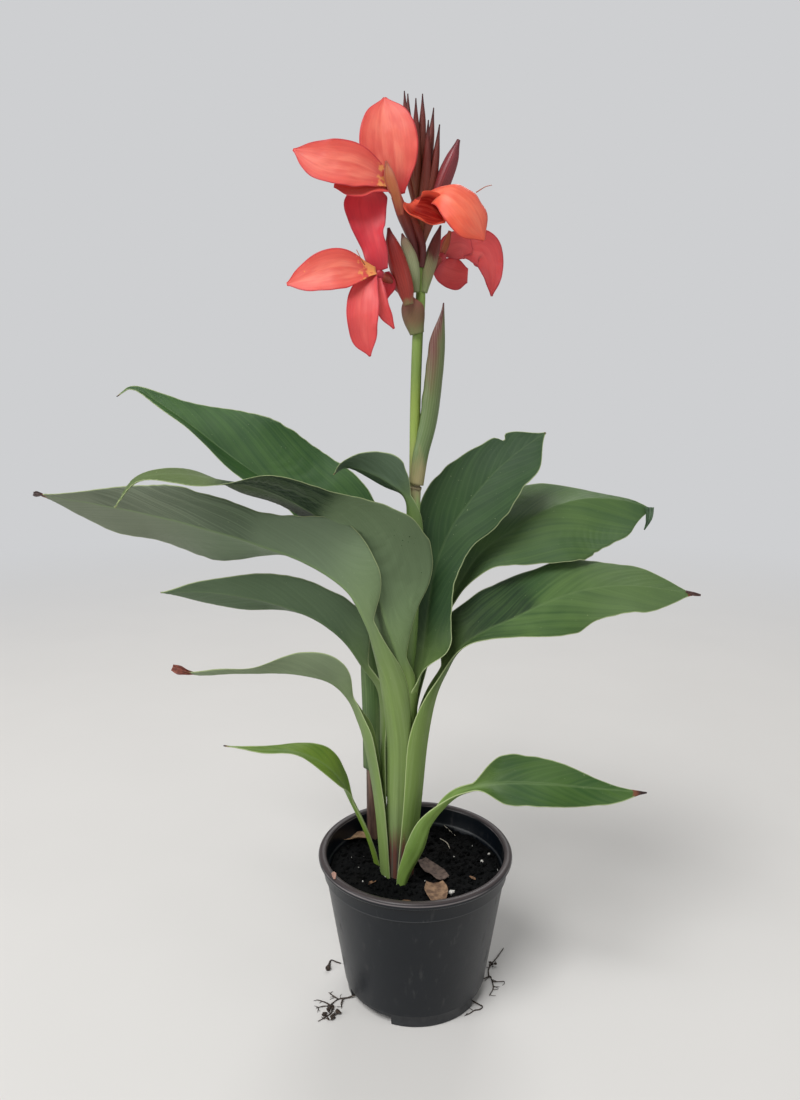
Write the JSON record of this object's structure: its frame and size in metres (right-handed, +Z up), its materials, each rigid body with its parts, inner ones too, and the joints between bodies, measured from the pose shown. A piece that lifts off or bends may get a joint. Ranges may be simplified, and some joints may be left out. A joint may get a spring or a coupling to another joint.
{
  "type": "potted canna lily",
  "caption": "Canna lily in a round nursery pot: broad paddle leaves on a leafy shoot, with coral flowers and a spike of buds on top.",
  "frame": {"origin": "Middle of the pot's underside, on the surface that the pot stands on.", "axes": "+Z up along the pot's axis, -Y the front that the flowers face, +X to the right of someone who looks at the front."},
  "size_m": [0.6412, 0.2113, 0.875],
  "materials": {
    "pot_plastic": "satin charcoal moulded plastic, dusty on the rim",
    "soil": "rough damp peat with white perlite grains",
    "shoot": "smooth yellow-green stem",
    "old_shoot": "dull brown and green, dry in places",
    "leaf": "satin dark green with fine parallel veins, paler below",
    "spathe": "satin tan-green flushed with maroon",
    "bud": "satin maroon",
    "petal": "soft coral red petal, darker at the edges",
    "flower_tube": "satin maroon with green",
    "bract": "satin pale green flushed with maroon",
    "dry_leaf": "matte dry tan leaf",
    "root": "matte dark brown root"
  },
  "bodies": {
    "root": {"pot": "pot_plastic", "soil": "soil", "main_shoot": "shoot", "old_shoot": "old_shoot", "leaf_back_left": "leaf", "leaf_front_long": "leaf", "leaf_left_upper": "leaf", "leaf_left_middle": "leaf", "leaf_left_lower": "leaf", "leaf_left_small": "leaf", "leaf_right_upright": "leaf", "leaf_right_upper": "leaf", "leaf_right_middle": "leaf", "leaf_right_low": "leaf", "leaf_top_small": "leaf", "spathe": "spathe", "bud_spike": "bud", "flower_top_left": "petal", "flower_lower_left": "petal", "flower_upper_right": "petal", "flower_right_behind": "petal", "tube_top_left": "flower_tube", "tube_lower_left": "flower_tube", "tube_upper_right": "flower_tube", "tube_right_behind": "flower_tube", "low_bract": "bract", "bract_left": "bract", "bract_middle": "bract", "bract_right": "bract", "dry_leaf_front": "dry_leaf", "dry_leaf_edge": "dry_leaf", "dry_leaf_left": "dry_leaf", "roots_left": "root", "roots_right": "root", "roots_front_right": "root"}
  },
  "joints": []
}
